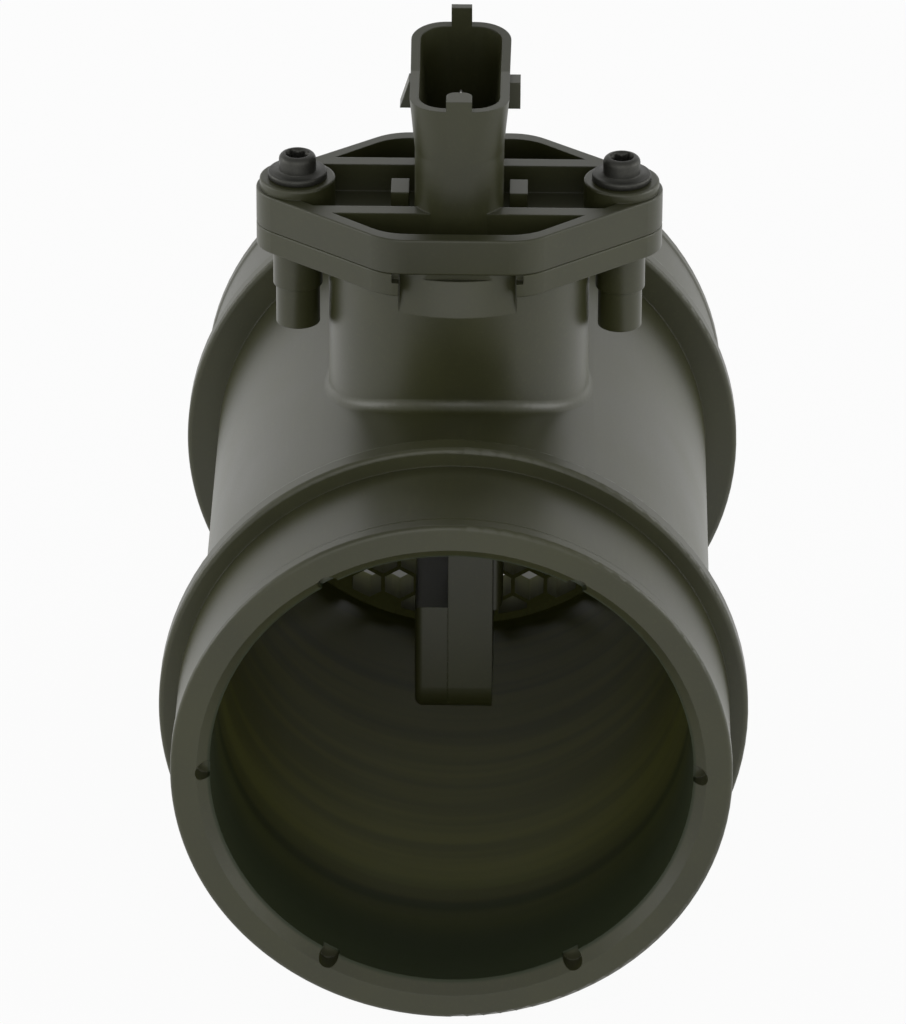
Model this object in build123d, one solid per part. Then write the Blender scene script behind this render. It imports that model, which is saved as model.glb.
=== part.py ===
"""Mass airflow sensor: a hot-film module plugged into a moulded duct section.

Millimetres.  The duct lies along +Y and its outlet face is the plane Y = 0, with the origin at
the centre of that face.  +Z points up through the module, and +X is to the right of someone
who looks into the outlet.  Air enters at the far end, through the flow grid, and leaves at Y = 0.
"""
import os
from math import sqrt

from build123d import *

# ---------------------------------------------------------------- duct
BORE_D = 68.4                # measuring bore
MOUTH_FLARE = 0.25           # radial widening of the mouth towards the outlet face
MOUTH_LEN = 22.0
MOUTH_LEAD = 1.8             # radial depth of the lead-in cone at the outlet face
MOUTH_LEAD_LEN = 1.7
TUBE_WALL = 3.1              # tube between the collars
BODY_LEN = 82.0
SPIGOT_WALL = 5.6            # hose seats
SPIGOT_LEN = 19.0
INLET_SPIGOT_LEN = 19.8
BEAD_RISE = 0.2              # rounded end bead above its hose seat
BEAD_LEN = 3.0
BEAD_RAMP = 0.6
COLLAR_RISE = 2.7            # stop collars above the hose seats
INLET_COLLAR_RISE = 2.3
COLLAR_LEN = 3.6
EDGE_R = 0.7                 # rounding of the outer moulded edges
KEY_NOTCHES = 6              # notches in the rim of the outlet bore
KEY_NOTCH_R = 1.4
KEY_NOTCH_LEN = 3.0

# ---------------------------------------------------------------- flow grid
GRID_SEAT = 1.5              # radial width of the shoulder that the grid rests on
GRID_DEPTH = 7.0
GRID_FROM_END = 18.0         # inlet face to the shoulder
GRID_RIM = 2.6
GRID_CELL = 4.45             # across flats
GRID_WALL = 0.6
GRID_SHIFT_X = 0.4           # the middle cell stands off the duct axis by this much
GRID_SHIFT_Z = -1.2
GRID_CLEARANCE = 0.1
RING_LEN = 2.0
RING_WIDTH = 1.8
RING_LUGS = 6
RING_LUG_W = 6.0
RING_LUG_OUT = 0.6           # how far a lug snaps into the groove

# ---------------------------------------------------------------- socket and seat flange
SOCKET_Y = 61.0              # centre of the socket, from the outlet face
SOCKET_D = 31.0
BOSS_WALL = 3.5
BOSS_FOOT_R = 1.6
SEAT_Z = 58.5                # joint plane between duct and module, above the duct axis
SEAT_T = 3.4
SOCKET_LEAD = 0.8
WINDOW_W = 16.9              # recess in the front of the boss, deepest at the joint plane
WINDOW_DEPTH = 1.6
WINDOW_H = 6.6
PRY_SLOT_W = 18.9            # slot between the flanges, for levering the module out
PRY_SLOT_H = 1.4
PRY_SLOT_DEPTH = 1.6

# ---------------------------------------------------------------- lozenge outline and screws
SCREW_SPACING = 47.0
EAR_R = 6.0
LOZENGE_FLAT = 20.4          # length of the front and rear flats
LOZENGE_SETBACK = 0.4        # the flats lie this far inside the boss
LOZENGE_CORNER_R = 8.0
SEAM_R = 0.25                # rounding of both flanges at their joint
SCREW_D = 4.0
THREAD_GAP = 0.05
SCREW_LEN = 19.0
HOLE_SPARE = 1.0             # pilot hole below the screw's tip
SCREW_FLANGE_D = 8.6
SCREW_FLANGE_T = 1.0
SCREW_HEAD_D = 5.4
SCREW_HEAD_H = 2.6
LOBES = 6
LOBE_D = 3.4                 # over the lobes of the recess
LOBE_R = 0.44
LOBE_DEPTH = 1.6
PILLAR_WALL = 1.55           # screw pillars, round the pilot hole
PILLAR_STEP = 0.4            # radial step down to the tip
PILLAR_LEN = 12.9            # below the underside of the seat flange
PILLAR_TIP_LEN = 6.2
SLEEVE_CLEARANCE = 0.2
SLEEVE_WALL = 0.8

# ---------------------------------------------------------------- module flange
FLANGE_H = 5.5
RIM_W = 2.2
POCKET_FLOOR = 1.2           # thickness left under the pockets
PAD_H = 1.4                  # screw pads above the rim
PAD_INSET = 0.5              # pads stand back this far from the outline of the ears
RIB_W = 2.4
RIB_OFFSET = 8.3             # rib centre lines from the socket centre
POST_X = 8.6
POST_W = 2.6
POST_L = 4.8

# ---------------------------------------------------------------- connector tower
TOWER_FRONT = 9.7            # front wall at the mouth, ahead of the socket centre
TOWER_L = 28.4               # over the mouth, along the duct
TOWER_W = 12.8               # straight part, below the flare
TOWER_FLARE = 0.8            # each side, from the straight part to the mouth
TOWER_FLARE_H = 8.0
TOWER_FOOT = 0.8             # the front wall leans out by this much down to its foot
TOWER_H = 21.7               # front of the mouth above the joint plane
TOWER_BACK_RISE = 1.5        # the mouth's rim rises towards its back
TOWER_WALL = 1.35
TOWER_CORNER_R = 5.2
CAVITY_DEPTH = 15.0
KEY_W = 3.7
KEY_L = 3.5
KEY_R = 1.4
KEY_RISE = 1.5               # above the front of the mouth
LATCH_W = 3.0
LATCH_RISE = 2.8             # above the back of the mouth
LATCH_OUT = 2.4              # nose behind the back wall
LATCH_HOOK = 1.2             # height of the nose's undercut below the back of the mouth
SIDE_BLOCK_OUT = 2.6         # coding blocks on the sides of the tower
SIDE_BLOCK_DRAFT = 1.3       # how much the left one narrows upwards
SIDE_BLOCK_H = 4.1
SIDE_BLOCK_L = 3.0
SIDE_BLOCK_DROP = 1.1        # top of the side blocks below the mouth

# ---------------------------------------------------------------- terminals
PIN_COUNT = 5
PIN_SPACING = 3.2            # in the tower
PIN_BOND_SPACING = 2.4       # at the circuit board
PIN_W = 1.5
PIN_T = 0.64
PIN_FIT = 0.03
PIN_PROUD = 9.0              # blade above the cavity floor
PIN_TIP = 0.5
PIN_JOG_TOP = 9.0            # jog starts this far below the joint plane
PIN_JOG_H = 6.0
PIN_OVERLAP = 4.0            # blade lies over the board by this much

# ---------------------------------------------------------------- plug, seal and stalk
PLUG_CLEARANCE = 0.2
PLUG_LEN = 24.5
SEAL_DROP = 7.0              # seal centre below the joint plane
SEAL_SECTION = 2.0
SEAL_GROOVE_W = 2.5
SEAL_GAP = 0.02
STALK_FRONT = 10.0           # front edge, ahead of the socket centre
STALK_L = 21.0
STALK_X0 = -1.3              # left side of the moulded core
STALK_T = 6.6
STALK_TIP_Z = -18.5
STALK_TIP_R = 5.0
COVER_EDGE_R = 1.2
WALL = 1.5                   # walls of the module
ELEC_COVER_T = 1.5
CHANNEL_COVER_T = 4.9
CHANNEL_TOP_Z = 0.0          # top of the channel cover
ELEC_FLOOR_Z = 6.0           # lower end of the electronics pocket
ELEC_MARGIN = 2.0
ELEC_FRAME = 0.8

# ---------------------------------------------------------------- measuring channel
CHANNEL_LEG = 5.5            # height of the inlet leg
CHANNEL_RETURN = 7.0         # height of the return leg
CHANNEL_DIVIDER = 1.4
CHANNEL_BEND_R = 3.0
OUTLET_L = 7.0
OUTLET_H = 4.5

# ---------------------------------------------------------------- electronics
BASE_T = 1.0
BOARD_T = 0.65
BOARD_MARGIN = 1.2
CHIP_SIZE = 5.0
CHIP_T = 0.9
CAP_L = 2.0
CAP_W = 1.25
CAP_H = 1.0
CARRIER_W = 5.0
CARRIER_FIT = 0.05
SENSING_SIZE = 2.6
SENSING_T = 0.4
BEAD_R = 0.9
BEAD_H = 3.6
BEAD_EDGE_R = 0.54
LEAD_D = 0.5
LEAD_LEN = 2.2
LEAD_SPACING = 7.0
THERMISTOR_Z = 18.0

# ---------------------------------------------------------------- modelling allowances
OVER = 1.0                   # a cut runs this far past an open face
NEAR = 0.01                  # two sizes closer than this count as the same

# ---------------------------------------------------------------- places worked out from these
duct_len = SPIGOT_LEN + 2 * COLLAR_LEN + BODY_LEN + INLET_SPIGOT_LEN
outlet_collar = SPIGOT_LEN
body_start = outlet_collar + COLLAR_LEN
body_end = body_start + BODY_LEN
inlet_collar_end = body_end + COLLAR_LEN
bore_r = BORE_D / 2
body_r = bore_r + TUBE_WALL
spigot_r = bore_r + SPIGOT_WALL
mouth_r = bore_r + MOUTH_FLARE
grid_seat_y = duct_len - GRID_FROM_END
grid_pocket_r = bore_r + GRID_SEAT
ring_y = grid_seat_y + GRID_DEPTH + GRID_CLEARANCE
ear_x = SCREW_SPACING / 2
boss_r = SOCKET_D / 2 + BOSS_WALL
lozenge_depth = 2 * (boss_r - LOZENGE_SETBACK)
hole_d = SCREW_D + 2 * THREAD_GAP
pillar_d = hole_d + 2 * PILLAR_WALL
sleeve_bore_d = SCREW_D + 2 * SLEEVE_CLEARANCE
sleeve_d = sleeve_bore_d + 2 * SLEEVE_WALL
rim_top = SEAT_Z + FLANGE_H
pad_top = rim_top + PAD_H
pad_d = 2 * (EAR_R - PAD_INSET)
pocket_z = SEAT_Z + POCKET_FLOOR
mouth_z = SEAT_Z + TOWER_H
rim_back_z = mouth_z + TOWER_BACK_RISE
cavity_z = mouth_z - CAVITY_DEPTH
tower_front = SOCKET_Y - TOWER_FRONT
tower_back = tower_front + TOWER_L
tower_y = (tower_front + tower_back) / 2
plug_r = SOCKET_D / 2 - PLUG_CLEARANCE
plug_bottom = SEAT_Z - PLUG_LEN
seal_z = SEAT_Z - SEAL_DROP
groove_r = SOCKET_D / 2 - SEAL_SECTION
stalk_y0 = SOCKET_Y - STALK_FRONT
stalk_y1 = stalk_y0 + STALK_L
stalk_mid = (stalk_y0 + stalk_y1) / 2
stalk_x1 = STALK_X0 + STALK_T
pocket_x = STALK_X0 + WALL
elec_top = plug_bottom - ELEC_MARGIN
elec_y0 = stalk_y0 + ELEC_MARGIN
elec_y1 = stalk_y1 - ELEC_MARGIN
channel_top = CHANNEL_TOP_Z - WALL
divider_top = channel_top - CHANNEL_LEG
return_top = divider_top - CHANNEL_DIVIDER
channel_bottom = return_top - CHANNEL_RETURN
channel_x1 = stalk_x1 - WALL
board_x = pocket_x + BASE_T
board_top = elec_top - BOARD_MARGIN
board_bottom = ELEC_FLOOR_Z + 2 * BOARD_MARGIN


def block(x0, x1, y0, y1, z0, z1):
    """A box given by its two opposite corners."""
    centre = Pos((x0 + x1) / 2, (y0 + y1) / 2, (z0 + z1) / 2)
    return centre * Box(x1 - x0, y1 - y0, z1 - z0)


def pillar(x, y, z0, z1, d):
    """An upright cylinder between two heights."""
    return Pos(x, y, (z0 + z1) / 2) * Cylinder(d / 2, z1 - z0)


def turned(points):
    """A body of revolution about the duct axis, from (radius, y) points."""
    return revolve(make_face(Polyline(*points, close=True)), Axis.Y)


def lozenge(inset, z0, z1):
    """The common outline of both flanges: the hull of two ears and a rectangle."""
    ears = [Pos(side * ear_x, 0) * Circle(EAR_R - inset) for side in (-1, 1)]
    middle = Rectangle(LOZENGE_FLAT, lozenge_depth - 2 * inset)
    outline = make_hull((ears[0] + ears[1] + middle).edges())
    creases = [v for v in outline.vertices() if abs(abs(v.Y) - lozenge_depth / 2 + inset) < NEAR]
    outline = fillet(creases, LOZENGE_CORNER_R)
    return Pos(0, SOCKET_Y, z0) * extrude(outline, z1 - z0)


# ================================================================ duct
def duct_outside():
    """Spigots, beads, collars and tube as one turned solid, still without its bore."""
    bead = spigot_r + BEAD_RISE
    outlet, inlet = spigot_r + COLLAR_RISE, spigot_r + INLET_COLLAR_RISE
    shape = turned([
        (0, 0), (bead, 0), (bead, BEAD_LEN - BEAD_RAMP), (spigot_r, BEAD_LEN),
        (spigot_r, outlet_collar), (outlet, outlet_collar), (outlet, body_start),
        (body_r, body_start), (body_r, body_end),
        (inlet, body_end), (inlet, inlet_collar_end), (spigot_r, inlet_collar_end),
        (spigot_r, duct_len - BEAD_LEN), (bead, duct_len - BEAD_LEN + BEAD_RAMP),
        (bead, duct_len), (0, duct_len),
    ])
    circles = shape.edges().filter_by(GeomType.CIRCLE)
    rims = [e for e in circles if e.radius > bead + NEAR]
    rims += [e for e in circles if abs(abs(e.center().Y - duct_len / 2) - duct_len / 2) < NEAR]
    return fillet(rims, EDGE_R)


def duct_bore():
    """Everything that is taken out along the axis: mouth, bore, grid pocket and ring groove."""
    groove = grid_pocket_r + RING_LUG_OUT + GRID_CLEARANCE
    return turned([
        (0, 0), (mouth_r + MOUTH_LEAD, 0), (mouth_r, MOUTH_LEAD_LEN), (bore_r, MOUTH_LEN),
        (bore_r, grid_seat_y), (grid_pocket_r, grid_seat_y),
        (grid_pocket_r, ring_y), (groove, ring_y),
        (groove, ring_y + RING_LEN + GRID_CLEARANCE),
        (grid_pocket_r, ring_y + RING_LEN + GRID_CLEARANCE), (grid_pocket_r, duct_len), (0, duct_len),
    ])


def boss_window():
    """What is taken out of the front of the boss: a box with a tapered, curved floor, and a slot."""
    front = SOCKET_Y - boss_r
    sill = SEAT_Z - WINDOW_H
    window = block(-WINDOW_W / 2, WINDOW_W / 2, front - OVER, SOCKET_Y, sill, SEAT_Z)
    window -= Pos(0, SOCKET_Y, SEAT_Z - WINDOW_H / 2) * Cone(boss_r, boss_r - WINDOW_DEPTH, WINDOW_H)
    slot_end = front + LOZENGE_SETBACK + PRY_SLOT_DEPTH
    return window + block(-PRY_SLOT_W / 2, PRY_SLOT_W / 2, front - OVER, slot_end,
                          SEAT_Z - PRY_SLOT_H, SEAT_Z + OVER)


def tube_housing():
    """The duct with its socket boss, seat flange and screw pillars, moulded as one piece."""
    boss = pillar(0, SOCKET_Y, body_r / 2, SEAT_Z - SEAT_T / 2, 2 * boss_r)
    shape = duct_outside() + boss
    shape = fillet(shape.edges().filter_by(GeomType.BSPLINE), BOSS_FOOT_R)
    under = SEAT_Z - SEAT_T
    seat = lozenge(0, under, SEAT_Z)
    shape += fillet(seat.edges().group_by(Axis.Z)[-1], SEAM_R)
    for side in (-1, 1):
        x = side * ear_x
        shape += pillar(x, SOCKET_Y, under - PILLAR_LEN + PILLAR_TIP_LEN, under + SEAM_R, pillar_d)
        shape += pillar(x, SOCKET_Y, under - PILLAR_LEN, under, pillar_d - 2 * PILLAR_STEP)
    shape -= boss_window()
    shape -= pillar(0, SOCKET_Y, 0, SEAT_Z + OVER, SOCKET_D)
    shape -= Pos(0, SOCKET_Y, SEAT_Z - SOCKET_LEAD / 2) * Cone(
        SOCKET_D / 2, SOCKET_D / 2 + SOCKET_LEAD, SOCKET_LEAD)
    shape -= duct_bore()
    hole_bottom = pad_top - SCREW_LEN - HOLE_SPARE
    for side in (-1, 1):
        shape -= pillar(side * ear_x, SOCKET_Y, hole_bottom, SEAT_Z + OVER, hole_d)
    notch = Pos(mouth_r + MOUTH_LEAD / 3, KEY_NOTCH_LEN / 2, 0) * (
        Rot(90, 0, 0) * Cylinder(KEY_NOTCH_R, KEY_NOTCH_LEN))
    for k in range(KEY_NOTCHES):
        shape -= Rot(0, 360 / KEY_NOTCHES * k, 0) * notch
    return shape


# ================================================================ flow grid and its ring
def flow_grid():
    """Honeycomb straightener: hexagonal cells, cut off by a round rim."""
    rim_r = grid_pocket_r - GRID_CLEARANCE
    field_r = rim_r - GRID_RIM
    pitch = GRID_CELL + GRID_WALL
    corner = GRID_CELL / sqrt(3)
    row_step = pitch * sqrt(3) / 2
    rows = int(field_r / row_step) + 1
    columns = int(field_r / pitch) + 1
    hexagon = RegularPolygon(corner, 6, rotation=30)
    field = Circle(field_r)
    cells = []
    for row in range(-rows, rows + 1):
        for column in range(-columns, columns + 1):
            x = (column + (row % 2) / 2) * pitch + GRID_SHIFT_X
            y = row * row_step + GRID_SHIFT_Z
            reach = sqrt(x * x + y * y)
            if reach + corner < field_r:
                cells.append(Pos(x, y) * hexagon)
            elif reach < field_r:
                cells.append((Pos(x, y) * hexagon) & field)
    grid = Circle(rim_r) - cells
    return Pos(0, grid_seat_y + GRID_DEPTH, 0) * (Rot(90, 0, 0) * extrude(grid, GRID_DEPTH))


def grid_retaining_ring():
    """Flat ring that snaps into the groove behind the grid with its outer lugs."""
    outer = grid_pocket_r - GRID_CLEARANCE
    ring = Circle(outer) - Circle(outer - RING_WIDTH)
    lug = Circle(outer + RING_LUG_OUT) - Circle(outer - RING_WIDTH / 2)
    window = Pos(outer, 0) * Rectangle(2 * (RING_WIDTH + RING_LUG_OUT), RING_LUG_W)
    for k in range(RING_LUGS):
        ring += lug & (Rot(0, 0, 360 / RING_LUGS * k) * window)
    return Pos(0, ring_y + RING_LEN, 0) * (Rot(90, 0, 0) * extrude(ring, RING_LEN))


# ================================================================ module
def tower_section(spread, lean, inset, z):
    """Rounded outline of the tower at one height: its sides spread, its front wall leans out."""
    width = TOWER_W + 2 * (spread - inset)
    front, back = tower_front - lean + inset, tower_back - inset
    outline = Pos(0, (front + back) / 2) * Rectangle(width, back - front)
    return Pos(0, 0, z) * fillet(outline.vertices(), TOWER_CORNER_R - inset)


def tower_body(inset, z0, z1):
    """The tower between two heights: straight sides at first, then flared to the mouth."""
    shoulder = mouth_z - TOWER_FLARE_H
    flare = TOWER_FLARE * (z1 - shoulder) / TOWER_FLARE_H
    return loft([tower_section(0, TOWER_FOOT, inset, z0), tower_section(0, TOWER_FOOT / 2, inset, shoulder),
                 tower_section(flare, 0, inset, z1)], ruled=True)


def connector_tower():
    """The shroud with its keying rib, latch nose and side blocks."""
    outside = tower_body(0, SEAT_Z + POCKET_FLOOR / 2, rim_back_z)
    above = Polyline((tower_front - OVER, mouth_z), (tower_y, mouth_z), (tower_back, rim_back_z),
                     (tower_back + OVER, rim_back_z + OVER), (tower_front - OVER, rim_back_z + OVER),
                     close=True)
    above = extrude(Plane.YZ * make_face(above), TOWER_W, both=True)
    key = block(-KEY_W / 2, KEY_W / 2, tower_front - OVER, tower_front + KEY_L, cavity_z, mouth_z + KEY_RISE)
    key = fillet(key.edges().filter_by(Axis.Z).group_by(Axis.Y)[-1], KEY_R) & outside
    top = rim_back_z + LATCH_RISE
    inner, outer = tower_back - TOWER_WALL, tower_back + LATCH_OUT
    hook = rim_back_z - LATCH_HOOK
    nose = Polyline((inner, rim_back_z - TOWER_BACK_RISE), (inner, top), (tower_back, top),
                    (outer, hook + LATCH_HOOK / 2), (outer, hook), (inner, hook), close=True)
    nose = extrude(Plane.YZ * make_face(nose), LATCH_W / 2, both=True)
    return outside - above - tower_body(TOWER_WALL, cavity_z, rim_back_z + OVER) + key + nose + side_blocks()


def side_blocks():
    """Coding blocks on the tower: square on the right, narrower upwards on the left."""
    high = mouth_z - SIDE_BLOCK_DROP
    low = high - SIDE_BLOCK_H
    inside = (TOWER_W + TOWER_FLARE) / 2 - TOWER_WALL / 2
    out = inside + SIDE_BLOCK_OUT
    wedge = Polyline((-inside, low), (-out, low), (-out + SIDE_BLOCK_DRAFT, high), (-inside, high),
                     close=True)
    left = extrude(Plane.XZ * make_face(wedge), SIDE_BLOCK_L / 2, both=True)
    return Pos(0, tower_y, 0) * left + block(inside, out, tower_y - SIDE_BLOCK_L / 2,
                                             tower_y + SIDE_BLOCK_L / 2, low, high)


def module_flange():
    """Ribbed lozenge flange: rim, screw pads, two cross ribs and two small posts."""
    shape = lozenge(0, SEAT_Z, rim_top)
    shape = fillet(shape.edges().group_by(Axis.Z)[0] + shape.edges().group_by(Axis.Z)[-1], SEAM_R)
    high = rim_top + OVER
    pockets = lozenge(RIM_W, pocket_z, high)
    keep = []
    for side in (-1, 1):
        keep.append(pillar(side * ear_x, SOCKET_Y, SEAT_Z, high, pad_d))
        keep.append(block(-ear_x, ear_x, SOCKET_Y + side * RIB_OFFSET - RIB_W / 2,
                          SOCKET_Y + side * RIB_OFFSET + RIB_W / 2, SEAT_Z, high))
        keep.append(block(side * POST_X - POST_W / 2, side * POST_X + POST_W / 2,
                          SOCKET_Y - POST_L / 2, SOCKET_Y + POST_L / 2, SEAT_Z, high))
    for piece in keep:
        pockets -= piece
    shape -= pockets
    for side in (-1, 1):
        pad = pillar(side * ear_x, SOCKET_Y, pocket_z, pad_top, pad_d)
        shape += fillet(pad.edges().group_by(Axis.Z)[-1], EDGE_R / 2)
    return shape


def stalk_outline(x0, x1, y0, y1, z_top):
    """The stalk's side view, rounded at its tip, given a thickness in X."""
    tall = z_top - STALK_TIP_Z
    face = Pos((y0 + y1) / 2, STALK_TIP_Z + tall / 2) * Rectangle(y1 - y0, tall)
    face = fillet(face.vertices().group_by(Axis.Y)[0], STALK_TIP_R)
    return Pos(x0, 0, 0) * extrude(Plane.YZ * face, x1 - x0)


def measuring_channel(x0, x1):
    """The folded bypass: in at the upstream edge, over the sensing chip, round and back."""
    y0 = stalk_y0 + WALL
    y_back = stalk_y1 - 2 * WALL
    turn = y0 + CHANNEL_LEG
    open_end = stalk_y1 + OVER
    region = Pos((y0 + open_end) / 2, (channel_top + divider_top) / 2) * Rectangle(
        open_end - y0, CHANNEL_LEG)
    region += Pos((y0 + turn) / 2, (channel_top + channel_bottom) / 2) * Rectangle(
        turn - y0, channel_top - channel_bottom)
    region += Pos((y0 + y_back) / 2, (return_top + channel_bottom) / 2) * Rectangle(
        y_back - y0, CHANNEL_RETURN)
    bends = [v for v in region.vertices() if abs(v.X - y0) < NEAR]
    region = fillet(bends, CHANNEL_BEND_R)
    return Pos(x0, 0, 0) * extrude(Plane.YZ * region, x1 - x0)


def terminal(index, grow=0.0):
    """One blade: straight in the tower, jogged inside the plug, straight over the board."""
    place = index - (PIN_COUNT - 1) / 2
    y_top = tower_y + place * PIN_SPACING
    y_bond = stalk_mid + place * PIN_BOND_SPACING
    x_bond = board_x + BOARD_T + PIN_T / 2 + PIN_FIT
    z_jog = SEAT_Z - PIN_JOG_TOP
    z_low = z_jog - PIN_JOG_H
    thick, wide = PIN_T + 2 * grow, PIN_W + 2 * grow
    section = Rectangle(thick, wide)
    tip = Rectangle(PIN_T / 3, PIN_W / 2)
    z_tip = cavity_z + PIN_PROUD
    upper = Pos(0, y_top, z_jog) * extrude(section, z_tip - PIN_TIP - z_jog)
    point = loft([Pos(0, y_top, z_tip - PIN_TIP) * section, Pos(0, y_top, z_tip) * tip])
    jog = loft([Pos(x_bond, y_bond, z_low) * section, Pos(0, y_top, z_jog) * section])
    z_end = board_top - PIN_OVERLAP
    lower = Pos(x_bond, y_bond, z_end) * extrude(section, z_low - z_end)
    return upper + point + jog + lower


def sensor_housing():
    """Flange, tower, plug and stalk core, moulded as one piece round the terminals."""
    plug = pillar(0, SOCKET_Y, plug_bottom, SEAT_Z, 2 * plug_r)
    plug = fillet(plug.edges().group_by(Axis.Z)[0], EDGE_R)
    groove = pillar(0, SOCKET_Y, seal_z - SEAL_GROOVE_W / 2, seal_z + SEAL_GROOVE_W / 2, SOCKET_D)
    groove -= pillar(0, SOCKET_Y, seal_z - SEAL_GROOVE_W, seal_z + SEAL_GROOVE_W, 2 * groove_r)
    shape = module_flange() + connector_tower() + (plug - groove)
    shape += stalk_outline(STALK_X0, stalk_x1, stalk_y0, stalk_y1, plug_bottom + OVER)
    shape -= block(pocket_x, stalk_x1 + OVER, elec_y0, elec_y1, ELEC_FLOOR_Z, elec_top)
    shape -= measuring_channel(STALK_X0 - OVER, channel_x1)
    outlet_y = stalk_mid + OUTLET_L / 4
    outlet_z = (return_top + channel_bottom) / 2
    shape -= block(channel_x1 - OVER, stalk_x1 + OVER, outlet_y - OUTLET_L / 2, outlet_y + OUTLET_L / 2,
                   outlet_z - OUTLET_H / 2, outlet_z + OUTLET_H / 2)
    slot = CARRIER_W / 2 + CARRIER_FIT
    shape -= block(pocket_x - CARRIER_FIT, board_x + CARRIER_FIT, stalk_mid - slot, stalk_mid + slot,
                   channel_top - OVER, ELEC_FLOOR_Z + OVER)
    for side in (-1, 1):
        shape -= pillar(side * ear_x, SOCKET_Y, SEAT_Z - OVER, pad_top + OVER, sleeve_d)
    for index in range(PIN_COUNT):
        shape -= terminal(index, PIN_FIT)
    for lead_z in (THERMISTOR_Z - LEAD_SPACING / 2, THERMISTOR_Z + LEAD_SPACING / 2):
        shape -= Pos(thermistor_x(), stalk_y1, lead_z) * (
            Rot(90, 0, 0) * Cylinder(LEAD_D / 2, 2 * lead_root()))
    return shape


def plug_seal():
    """The O-ring between plug and socket."""
    minor = SEAL_SECTION / 2 - SEAL_GAP
    return Pos(0, SOCKET_Y, seal_z) * Torus(groove_r + SEAL_SECTION / 2, minor)


def electronics_cover():
    """Lid over the circuit, on the right-hand side of the stalk, with a locating frame."""
    lid = block(stalk_x1, stalk_x1 + ELEC_COVER_T, stalk_y0 + ELEC_FRAME, stalk_y1 - ELEC_FRAME,
                CHANNEL_TOP_Z - ELEC_FRAME, plug_bottom - PLUG_CLEARANCE)
    lid = fillet(lid.faces().sort_by(Axis.X)[-1].edges(), COVER_EDGE_R)
    gap = CARRIER_FIT
    frame = block(stalk_x1 - WALL, stalk_x1, elec_y0 + gap, elec_y1 - gap,
                  ELEC_FLOOR_Z + gap, elec_top - gap)
    inner = gap + ELEC_FRAME
    frame -= block(stalk_x1 - WALL - OVER, stalk_x1, elec_y0 + inner, elec_y1 - inner,
                   ELEC_FLOOR_Z + inner, elec_top - inner)
    return lid + frame


def channel_cover():
    """Half shell on the left-hand side of the stalk, with its half of the measuring channel."""
    x0 = STALK_X0 - CHANNEL_COVER_T
    shell = stalk_outline(x0, STALK_X0, stalk_y0, stalk_y1, CHANNEL_TOP_Z)
    shell = fillet(shell.faces().sort_by(Axis.X)[0].edges(), COVER_EDGE_R)
    return shell - measuring_channel(x0 + WALL, STALK_X0 + OVER)


# ================================================================ electronics
def base_plate():
    """Aluminium carrier of the circuit, flat on the floor of its pocket."""
    gap = 2 * CARRIER_FIT
    plate = block(pocket_x, board_x, elec_y0 + gap, elec_y1 - gap,
                  ELEC_FLOOR_Z + BOARD_MARGIN, elec_top - gap)
    return fillet(plate.edges().filter_by(Axis.X), BOARD_MARGIN)


def hybrid_board():
    """Ceramic circuit board on the base plate."""
    return block(board_x, board_x + BOARD_T, elec_y0 + BOARD_MARGIN, elec_y1 - BOARD_MARGIN,
                 board_bottom, board_top)


def on_board(y, z, length, height, thick):
    """A component that lies on the board."""
    x = board_x + BOARD_T
    return block(x, x + thick, y - length / 2, y + length / 2, z - height / 2, z + height / 2)


def signal_chip():
    """The evaluation circuit."""
    return on_board(stalk_mid, (board_bottom + board_top) / 2 - CHIP_SIZE / 4,
                    CHIP_SIZE, CHIP_SIZE, CHIP_T)


def capacitor(side):
    """A ceramic chip capacitor beside the evaluation circuit."""
    return on_board(stalk_mid + side * CHIP_SIZE, (board_bottom + board_top) / 2,
                    CAP_W, CAP_L, CAP_H)


def sensor_carrier():
    """Tongue that holds the sensing chip in the middle of the measuring channel."""
    tongue = block(pocket_x, board_x, stalk_mid - CARRIER_W / 2, stalk_mid + CARRIER_W / 2,
                   divider_top + WALL / 2, ELEC_FLOOR_Z + BOARD_MARGIN)
    return fillet(tongue.edges().filter_by(Axis.X).group_by(Axis.Z)[0], WALL)


def sensing_chip():
    """The hot-film element on the tongue."""
    z = channel_top - CHANNEL_LEG / 2
    half = SENSING_SIZE / 2
    return block(board_x, board_x + SENSING_T, stalk_mid - half, stalk_mid + half, z - half, z + half)


def thermistor_x():
    """Middle of the stalk core."""
    return (STALK_X0 + stalk_x1) / 2


def lead_root():
    """How deep the leads reach into the edge of the stalk."""
    return ELEC_MARGIN / 2


def air_thermistor():
    """Intake air temperature bead on two leads, at the upstream edge of the stalk."""
    x = thermistor_x()
    y = stalk_y1 + LEAD_LEN
    root = stalk_y1 - lead_root()
    low, high = THERMISTOR_Z - LEAD_SPACING / 2, THERMISTOR_Z + LEAD_SPACING / 2
    staple = Plane.YZ * FilletPolyline((root, low), (y, low), (y, high), (root, high), radius=2 * LEAD_D)
    wire = Pos(x, 0, 0) * sweep(Plane((0, root, low), z_dir=(0, 1, 0)) * Circle(LEAD_D / 2), staple)
    bead = Pos(x, y, THERMISTOR_Z) * Cylinder(BEAD_R, BEAD_H)
    return wire + fillet(bead.edges().filter_by(GeomType.CIRCLE), BEAD_EDGE_R)


# ================================================================ fasteners
def clamp_sleeve(side):
    """Metal sleeve that takes the screw's clamping force through the plastic ear."""
    x = side * ear_x
    bore = pillar(x, SOCKET_Y, SEAT_Z - OVER, pad_top + OVER, sleeve_bore_d)
    return pillar(x, SOCKET_Y, SEAT_Z, pad_top, sleeve_d) - bore


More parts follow.
